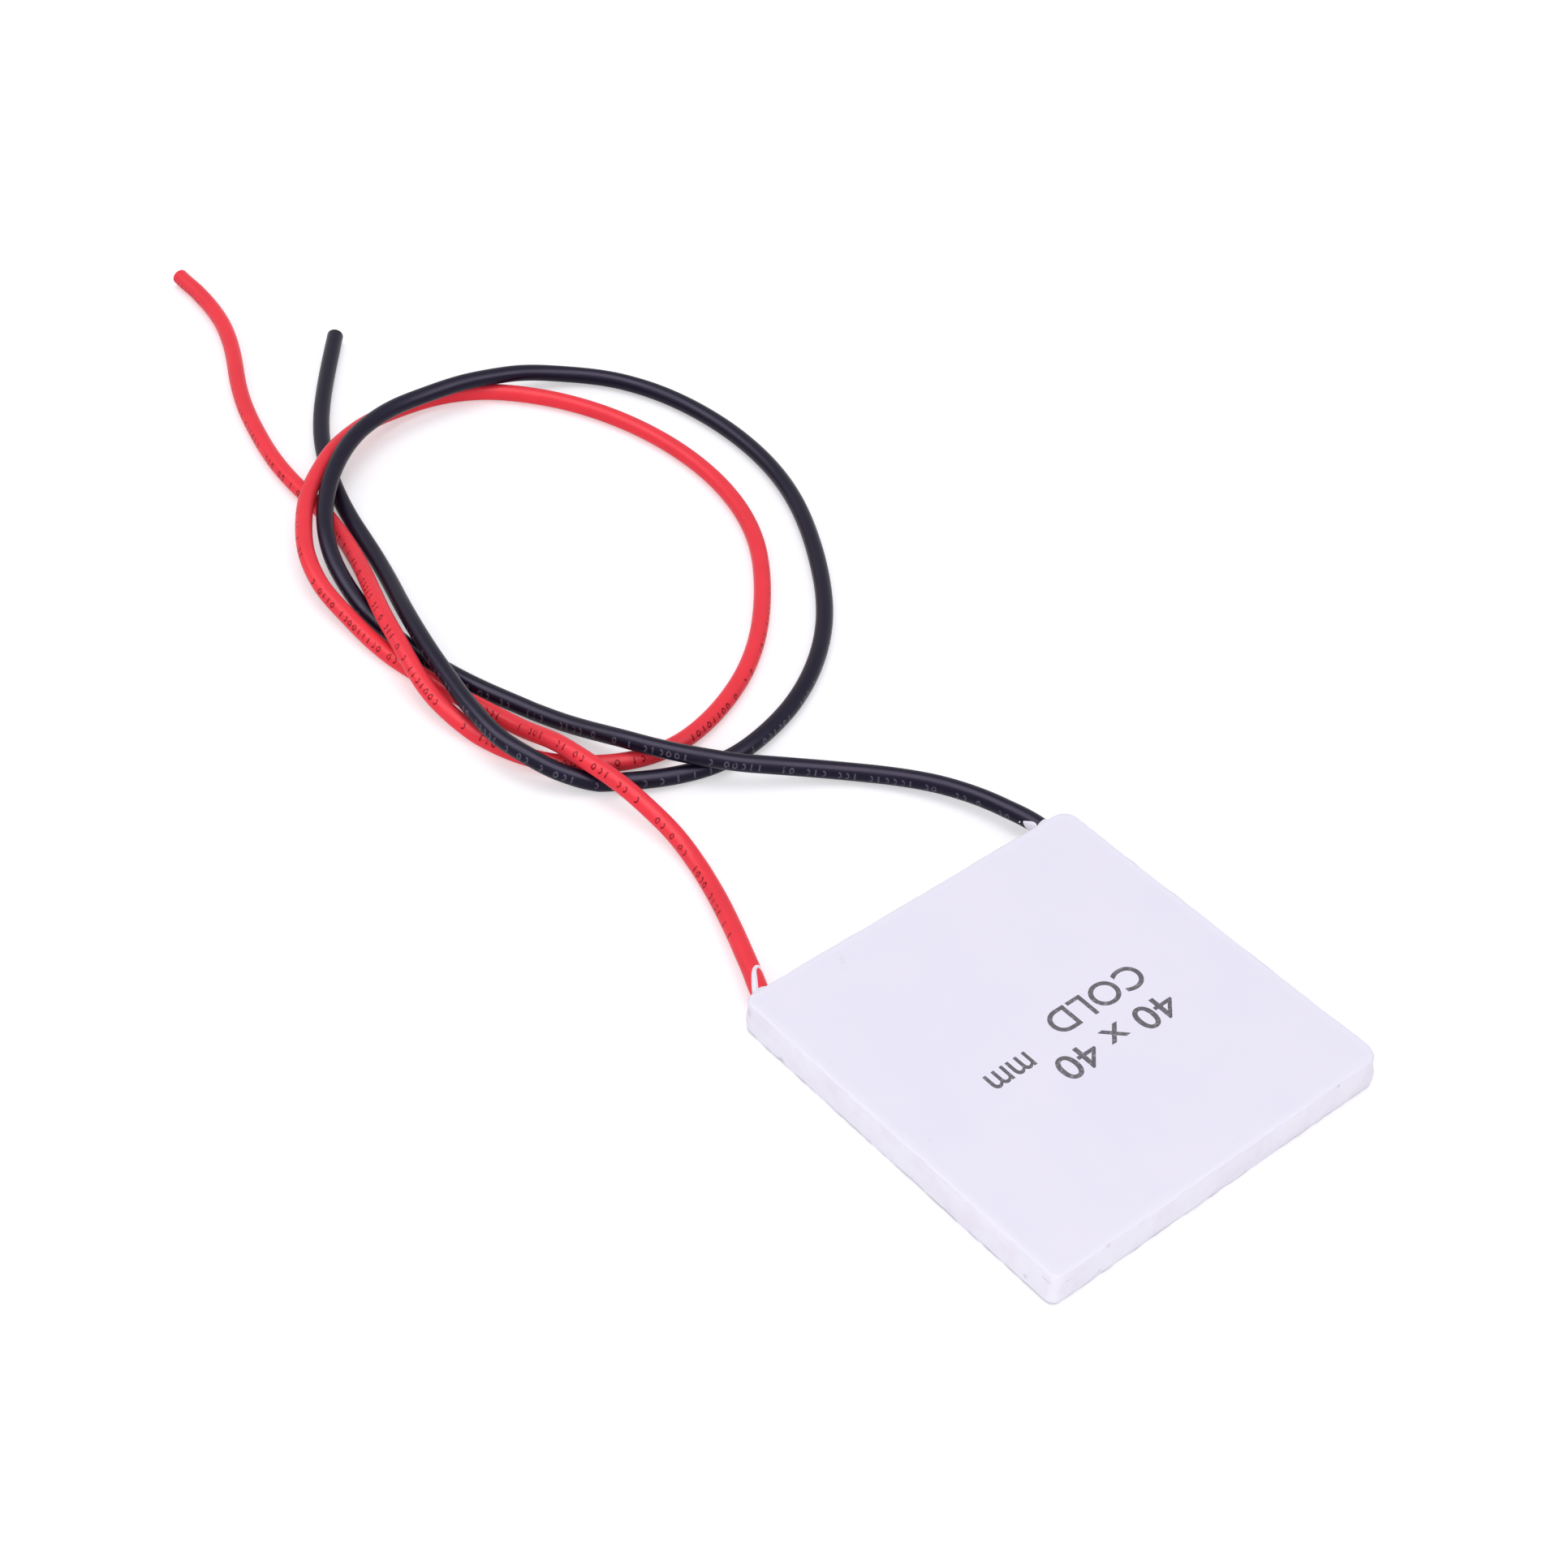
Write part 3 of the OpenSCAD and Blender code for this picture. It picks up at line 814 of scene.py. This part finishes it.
def seal_section(bm, sealant, start_y):
    """Section of the seal where the +X side starts: a band between the plates and a skin over them"""
    low, high = lip_levels(sealant)
    corners = (
        (sealant.lip, low), (sealant.lip, high), (0, high), (0, COLD_LOW.z), (-sealant.depth, COLD_LOW.z),
        (-sealant.depth, HOT_HIGH.z), (0, HOT_HIGH.z), (0, low))
    _, edges = closed_line(bm, [(PLATE_W / 2 + out, start_y, z) for out, z in corners])
    skin = bmesh.ops.subdivide_edges(bm, edges=[edges[1]], cuts=SKIN_CUTS)["geom_inner"]
    for vert in skin:
        if isinstance(vert, bmesh.types.BMVert):
            rise = (vert.co.z - MID_Z) / (high - MID_Z)
            vert.co.x += (SEAL_BULGE - sealant.lip) * (1 - rise * rise)
    return bm.verts[:] + bm.edges[:]


def seal_mesh(sealant, ceramic):
    """The section carried along the four sides and round the four corners, then made uneven"""
    bm = bmesh.new()
    section = seal_section(bm, sealant, ceramic.red_corner - PLATE_W / 2)
    for turn in range(4):
        side = Matrix.Rotation(turn * math.pi / 2, 3, "Z")
        before = corner_radius(ceramic, side @ Vector((1, -1, 0)))
        after = corner_radius(ceramic, side @ Vector((1, 1, 0)))
        step = side @ Vector((0, (PLATE_W - before - after) / SIDE_STEPS, 0))
        reach = PLATE_W / 2 - after
        section = bmesh.ops.spin(
            bm, geom=section, cent=(0, 0, 0), axis=UP, dvec=step, angle=0, steps=SIDE_STEPS)["geom_last"]
        section = bmesh.ops.spin(
            bm, geom=section, cent=side @ Vector((reach, reach, 0)), axis=UP, dvec=(0, 0, 0),
            angle=math.pi / 2, steps=CORNER_STEPS)["geom_last"]
    bmesh.ops.remove_doubles(bm, verts=bm.verts, dist=MERGE)
    bmesh.ops.recalc_face_normals(bm, faces=bm.faces)
    low, high = lip_levels(sealant)
    for vert in bm.verts:
        direction, proud = outward(vert.co, ceramic)
        if proud > -MERGE:
            if min(vert.co.z - low, high - vert.co.z) < MERGE:
                vert.co.z += sealant.waver * unevenness(vert.co, LIP_WAVE)
            swell = sealant.wobble * waves(vert.co, *SKIN_WAVES) * proud / SEAL_BULGE
            vert.co += direction * swell + edge_shift(vert.co, direction, ceramic)
    return bm


def dab_mesh(path, sealant):
    """Sealant drawn out along a lead where it leaves the skin, cut off level with the plates' edge"""
    bm = bmesh.new()
    lip = (path.exit - path.root).length
    skin = lip - sealant.dab_length
    profile = (
        (0, -skin), (sealant.dab_root, -skin), (DAB_TAPER * sealant.dab_root, skin),
        (sealant.dab_lip, (skin + lip) / 2), (DAB_TAPER * sealant.dab_lip, lip), (0, lip))
    verts, edges = closed_line(
        bm, [path.root + path.ahead * along + UP * (path.radius + thick) for thick, along in profile])
    bmesh.ops.spin(
        bm, geom=verts + edges, cent=path.root, axis=path.ahead, dvec=(0, 0, 0), angle=2 * math.pi,
        steps=ROUND_SEGMENTS, use_merge=True)
    cut = bmesh.ops.bisect_plane(
        bm, geom=bm.verts[:] + bm.edges[:] + bm.faces[:], plane_co=(0, COLD_LOW.y - sealant.lip, 0),
        plane_no=(0, 1, 0), clear_outer=True)["geom_cut"]
    bmesh.ops.bridge_loops(bm, edges=edges_in(cut))
    return bm


def strand_mesh(path):
    """A strand of sealant dragged up a lead and over its top"""
    knots = [Vector((along * MM, math.radians(turn) * path.radius, thick * MM))
             for along, turn, thick in STRAND]
    line = smooth_line(knots, [arc_slope(knots, i) for i in range(len(knots))], STRAND_STEP)
    points = [path.on_skin(along, arc / path.radius) for along, arc, _ in line]
    bm = tube_mesh(points, MM, [thick / MM for _, _, thick in line])
    for end, inner in ((0, 1), (-1, -2)):
        ahead = (points[end] - points[inner]).normalized()
        thick = line[end].z
        rings = [(share, radii * thick) for share, radii in STRAND_END]
        close_end(bm, points[end], ahead, rings, 2 * thick)
    return bm


def smear_mesh(path, sealant):
    """A flat tongue of sealant on the lower side of a lead, and a drop beyond its tip"""
    bm = bmesh.new()
    for middle, reach, turn, tip_turn, half_turn in SMEARS:
        made = bmesh.ops.create_uvsphere(bm, u_segments=SMEAR_RINGS, v_segments=SMEAR_RINGS // 2, radius=1)
        for vert in made["verts"]:
            x, y, z = vert.co
            spread = half_turn * (1 - SMEAR_LEAN * x - SMEAR_POINT * x * x)
            spread *= 1 + SMEAR_UNEVEN * unevenness(vert.co, SMEAR_WAVE)
            around = math.radians(turn + tip_turn * max(x, 0) ** 2 + spread * y)
            vert.co = path.on_skin((middle + reach * x) * MM, around, sealant.smear_thickness * z)
    return bm


def arc_slope(knots, i):
    """Slope at a point of the arc through its neighbours, or of the straight line at an end"""
    before = knots[i] - knots[max(i - 1, 0)]
    after = knots[min(i + 1, len(knots) - 1)] - knots[i]
    a, b = before.length, after.length
    if not a or not b:
        return (before + after).normalized()
    return (before * b / a + after * a / b) / (a + b)


def smooth_line(knots, slopes, step):
    """Points about a step apart on a smooth line through knots"""
    points = []
    for p, q, leaving, arriving in zip(knots, knots[1:], slopes, slopes[1:]):
        chord = (q - p).length
        points += interpolate_bezier(
            p, p + leaving * chord / 3, q - arriving * chord / 3, q, 1 + math.ceil(chord / step))[:-1]
    return points + [knots[-1]]


def moving_mean(points, reach):
    """Each point's mean with its neighbours, up to a number of them on both sides"""
    means = []
    for i in range(len(points)):
        span = min(reach, i, len(points) - 1 - i)
        near = points[i - span:i + span + 1]
        means.append(sum(near, Vector()) / len(near))
    return means


def up_and_right(ahead):
    """Up and right of a heading"""
    up = (UP - ahead * ahead.z).normalized()
    return up, ahead.cross(up)


class LeadPath:
    """The centreline of a lead, from the plates' edge to its cut end. In plan its turns are rounded off as
    by the lead's own stiffness, and its wide bends stay where they are."""

    def __init__(self, joint, turn, route, leads, dab_length):
        low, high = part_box(joint)
        pivot = Vector(((low.x + high.x) / 2, (low.y + high.y) / 2, MID_Z))
        radius = leads.diameter / 2
        pitch = leads.diameter + leads.cross_gap
        self.radius = radius
        self.ahead = Vector((math.sin(turn), -math.cos(turn), 0))
        self.root = pivot + self.ahead * (pivot.y - COLD_LOW.y)
        self.exit = pivot + self.ahead * (pivot.y - EDGE_Y + dab_length)
        knots = [self.root, self.exit]
        knots += [Vector((x * MM, EDGE_Y - out * MM, radius + under * pitch)) for x, out, under in route]
        slopes = [self.ahead] * 2 + [arc_slope(knots, i) for i in range(2, len(knots))]
        line = smooth_line(knots, slopes, RING_STEP)
        once = moving_mean(line, EASE_RINGS)
        twice = moving_mean(once, EASE_RINGS)
        self.points = [Vector((2 * p.x - q.x, 2 * p.y - q.y, max(at.z, radius)))
                       for at, p, q in zip(line, once, twice)]
        self.tip = self.points[-1]
        self.tip_ahead = (self.tip - self.points[-2]).normalized()

    def run(self):
        """Length of the whole centreline"""
        return sum((q - p).length for p, q in zip(self.points, self.points[1:]))

    def on_skin(self, distance, around, lift=0.0):
        """Point on the lead's skin, by its distance from the lip of the dab and its angle from the top"""
        left = distance + (self.exit - self.root).length
        for p, q in zip(self.points, self.points[1:]):
            step = (q - p).length
            if left <= step:
                break
            left -= step
        ahead = (q - p).normalized()
        up, right = up_and_right(ahead)
        return p + ahead * left + (up * math.cos(around) + right * math.sin(around)) * (self.radius + lift)


def lead_paths(module):
    """Centrelines of the red and the black lead"""
    leads, dab = module.leads, module.sealant.dab_length
    red = LeadPath("positive_joint", -leads.red_tilt, RED_ROUTE, leads, dab)
    black = LeadPath("negative_joint", leads.black_tilt, BLACK_ROUTE, leads, dab)
    return red, black


def tube_mesh(points, radius, swells=None):
    """An open tube along points, with UV along it and around it"""
    curve = bpy.data.curves.new("tube", "CURVE")
    curve.dimensions = "3D"
    curve.twist_mode = "Z_UP"
    curve.bevel_depth = radius
    curve.bevel_resolution = TUBE_RESOLUTION
    spline = curve.splines.new("POLY")
    spline.points.add(len(points) - 1)
    for i, point in enumerate(points):
        spline.points[i].co = (*point, 1)
        spline.points[i].radius = swells[i] if swells else 1
    return curve_mesh(curve)


def close_end(bm, centre, ahead, rings, reach):
    """Closes the open end of a tube within reach of a point, through rings given by their share of the
    radius and their distance ahead"""
    rim = [e for e in bm.edges if e.is_boundary and (e.verts[0].co - centre).length < reach]
    share_now, ahead_now = 1.0, 0.0
    for share, distance in rings:
        made = bmesh.ops.extrude_edge_only(bm, edges=rim)["geom"]
        rim = [e for e in edges_in(made) if e.is_boundary]
        verts = list({v for e in rim for v in e.verts})
        bmesh.ops.scale(bm, vec=(share / share_now,) * 3, verts=verts,
                        space=Matrix.Translation(-centre - ahead * ahead_now))
        bmesh.ops.translate(bm, vec=ahead * (distance - ahead_now), verts=verts)
        share_now, ahead_now = share, distance
    bmesh.ops.edgeloop_fill(bm, edges=rim)


def lead_piece(name, path, material, node, leads):
    """The insulated lead with a cut end: a softened rim, and a recess that shows the strands"""
    bm = tube_mesh(path.points, path.radius)
    core_share = leads.core_diameter / leads.diameter
    rings = [(share, ahead * MM) for share, ahead in CUT_RIM]
    rings += [(share * core_share, ahead * MM) for share, ahead in CUT_SEAT]
    close_end(bm, path.root, -path.ahead, (), leads.diameter)
    close_end(bm, path.tip, path.tip_ahead, rings, leads.diameter)
    bmesh.ops.recalc_face_normals(bm, faces=bm.faces)
    return new_piece(name, bm, material, (node,))


def strands_piece(name, path, material, leads):
    """The cut strands in the end of a lead: one in the middle and rings round it"""
    up, right = up_and_right(path.tip_ahead)
    lie = Matrix((right, up, path.tip_ahead)).transposed().to_4x4()
    thick = leads.strand_diameter
    bm = bmesh.new()
    for ring in range(WIRE_RINGS):
        count = max(1, 6 * ring)
        for i in range(count):
            turn = 2 * math.pi * i / count
            middle = path.tip + (right * math.cos(turn) + up * math.sin(turn)) * ring * thick
            out = WIRE_SPREAD * unevenness(middle, WIRE_WAVE) - WIRE_LENGTH / 2
            bmesh.ops.create_cone(
                bm, cap_ends=True, segments=WIRE_SIDES, radius1=thick / 2, radius2=WIRE_TIP * thick / 2,
                depth=WIRE_LENGTH, matrix=Matrix.Translation(middle + path.tip_ahead * out) @ lie)
    return new_piece(name, bm, material)


def text_mesh(text, place, wide, marking):
    """Flat ink letters on the cold face, of a given width and cap height"""
    words = bpy.data.curves.new("words", "FONT")
    words.body = text
    words.extrude = 0.5
    bm = curve_mesh(words)
    xs = [v.co.x for v in bm.verts]
    size = (wide / (max(xs) - min(xs)), marking.cap_height / FONT_CAP, marking.thickness)
    bmesh.ops.translate(bm, vec=(-min(xs), 0, 0), verts=bm.verts)
    bmesh.ops.scale(bm, vec=size, verts=bm.verts)
    bmesh.ops.translate(bm, vec=place + UP * FACE_Z, verts=bm.verts)
    bmesh.ops.remove_doubles(bm, verts=bm.verts, dist=MERGE)
    bm.normal_update()
    for vert in bm.verts:
        sides = [f.normal for f in vert.link_faces if abs(f.normal.z) < LEVEL_RISE]
        vert.co += sum(sides, Vector()).normalized() * marking.spread
    return bm


class TEG_OT_leads(Operator):
    """Lay the red and the black lead along their routes, cut off flush"""

    bl_idname = "teg.leads"
    bl_label = "Leads"

    def execute(self, context):
        module = context.scene.teg_module
        leads = module.leads
        red, black = lead_paths(module)
        for name, path, node in (("red", red, "positive_lead"), ("black", black, "negative_lead")):
            body, ink, gloss, specular, run = (
                getattr(leads, name + kind) for kind in ("", "_print", "_gloss", "_specular", "_length"))
            lettering = dict(PRINTS[name], length=path.run() / MM, girth=math.pi * leads.diameter / MM)
            skin = insulation_material(name.title() + " Insulation", body, ink, gloss, specular, lettering)
            lead = lead_piece(name + "_lead", path, skin, node, leads)
            strands = strands_piece(name + "_strands", path, metal_material("Tinned Strand"), leads)
        return {"FINISHED"}


class TEG_OT_plates(Operator):
    """Build the two ceramic plates"""

    bl_idname = "teg.plates"
    bl_label = "Ceramic Plates"

    def execute(self, context):
        ceramic = context.scene.teg_module.ceramic
        alumina = ceramic_material(ceramic)
        for node, low, high in (("hot_plate", HOT_LOW, HOT_HIGH), ("cold_plate", COLD_LOW, COLD_HIGH)):
            new_piece(node + "_ceramic", plate_mesh(low, high, ceramic), alumina, (node,))
        return {"FINISHED"}


class TEG_OT_seal(Operator):
    """Build the sealant round the edge, with a dab at each lead"""

    bl_idname = "teg.seal"
    bl_label = "Edge Seal"

    def execute(self, context):
        module = context.scene.teg_module
        sealant = module.sealant
        red, black = lead_paths(module)
        bm = seal_mesh(sealant, module.ceramic)
        for part in (dab_mesh(red, sealant), dab_mesh(black, sealant), strand_mesh(red),
                     smear_mesh(black, sealant)):
            add_mesh(bm, part)
        bmesh.ops.recalc_face_normals(bm, faces=bm.faces)
        new_piece("edge_sealant", bm, sealant_material(sealant), ("edge_seal",))
        return {"FINISHED"}


class TEG_OT_marking(Operator):
    """Print the ink marking on the cold face"""

    bl_idname = "teg.marking"
    bl_label = "Marking"

    def execute(self, context):
        marking = context.scene.teg_module.marking
        ink = ink_material(marking)
        for name, (left, base, wide) in MARKING_LINES.items():
            text = getattr(marking, name + "_text")
            bm = text_mesh(text, Vector((left, base, 0)) * MM, wide * MM, marking)
            new_piece("marking_" + name, bm, ink)
        return {"FINISHED"}


class TEG_OT_couples(Operator):
    """Finish the couples, tabs and joints inside the module"""

    bl_idname = "teg.couples"
    bl_label = "Couples"

    def execute(self, context):
        for node, metal in NODE_METALS.items():
            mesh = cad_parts[node].data
            mesh.materials.clear()
            mesh.materials.append(metal_material(metal))
        return {"FINISHED"}


class TEG_OT_stage(Operator):
    """Set the camera, the lamps and the white floor"""

    bl_idname = "teg.stage"
    bl_label = "Stage"

    def execute(self, context):
        stage = context.scene.teg_module.stage
        self.set_camera(context.scene, stage)
        self.set_floor(stage)
        self.set_light(context.scene, stage)
        context.scene.view_settings.view_transform = "Standard"
        return {"FINISHED"}

    @staticmethod
    def set_camera(scene, stage):
        lens = bpy.data.cameras.new("camera")
        lens.lens = stage.focal
        lens.sensor_width = SENSOR
        lens.clip_start = 1 * MM
        camera = new_object("camera", lens)
        turn = Matrix.Rotation(-stage.heading, 4, "Z") @ Matrix.Rotation(math.pi / 2 - stage.dip, 4, "X")
        roll = Matrix.Rotation(stage.roll, 4, "Z")
        camera.matrix_world = Matrix.Translation(stage.place) @ turn @ roll
        scene.camera = camera

    @staticmethod
    def set_floor(stage):
        bm = bmesh.new()
        below = Matrix.Translation((0, 0, -FLOOR_DROP))
        bmesh.ops.create_grid(bm, x_segments=1, y_segments=1, size=FLOOR_HALF, matrix=below)
        floor = new_object("floor", new_mesh("floor", bm, floor_material(stage)))

    @staticmethod
    def set_light(scene, stage):
        world = bpy.data.worlds.new("studio")
        world.use_nodes = True
        tree = world.node_tree
        sky = put(tree, "ShaderNodeMapRange",
                  {"Value": background_ray(tree), "To Min": stage.sky, "To Max": 1.0}).outputs[0]
        tree.links.new(sky, tree.nodes["Background"].inputs["Strength"])
        tree.nodes["Background"].inputs["Color"].default_value = (1, 1, 1, 1)
        scene.world = world
        for name, (place, size, turn, only_gloss) in LAMPS.items():
            lamp = bpy.data.lights.new(name, "AREA")
            lamp.shape = "RECTANGLE"
            lamp.size, lamp.size_y = size
            lamp.energy = getattr(stage, name)
            softbox = new_object(name, lamp)
            aim = Vector(place).to_track_quat("Z", "Y").to_matrix().to_4x4()
            spin = Matrix.Rotation(math.radians(turn), 4, "Z")
            softbox.matrix_world = Matrix.Translation(place) @ aim @ spin
            softbox.visible_glossy = only_gloss
            softbox.visible_diffuse = not only_gloss


class TEG_PT_module(Panel):
    """Sizes, colours and building steps of the module"""

    bl_label = "Generator Module"
    bl_idname = "TEG_PT_module"
    bl_space_type = "VIEW_3D"
    bl_region_type = "UI"
    bl_category = "Module"

    def draw(self, context):
        module = context.scene.teg_module
        for part in ("ceramic", "sealant", "leads", "marking", "stage"):
            box = self.layout.box()
            box.label(text=part.title())
            settings = getattr(module, part)
            for name in settings.__annotations__:
                box.prop(settings, name)
        for step in STEPS:
            self.layout.operator(step.bl_idname)


SETTINGS = (CeramicSettings, SealantSettings, LeadSettings, MarkingSettings, StageSettings, ModuleSettings)
STEPS = (TEG_OT_stage, TEG_OT_leads, TEG_OT_plates, TEG_OT_seal, TEG_OT_marking, TEG_OT_couples)


def register():
    for kind in (*SETTINGS, *STEPS, TEG_PT_module):
        bpy.utils.register_class(kind)
    bpy.types.Scene.teg_module = PointerProperty(type=ModuleSettings)


def unregister():
    del bpy.types.Scene.teg_module
    for kind in reversed((*SETTINGS, *STEPS, TEG_PT_module)):
        bpy.utils.unregister_class(kind)


def main():
    register()
    for make_group in GROUP_MAKERS:
        make_group()
    bpy.ops.teg.stage()
    bpy.ops.teg.leads()
    bpy.ops.teg.plates()
    bpy.ops.teg.seal()
    bpy.ops.teg.marking()
    bpy.ops.teg.couples()
    bpy.context.view_layer.update()


if __name__ == "__main__":
    main()
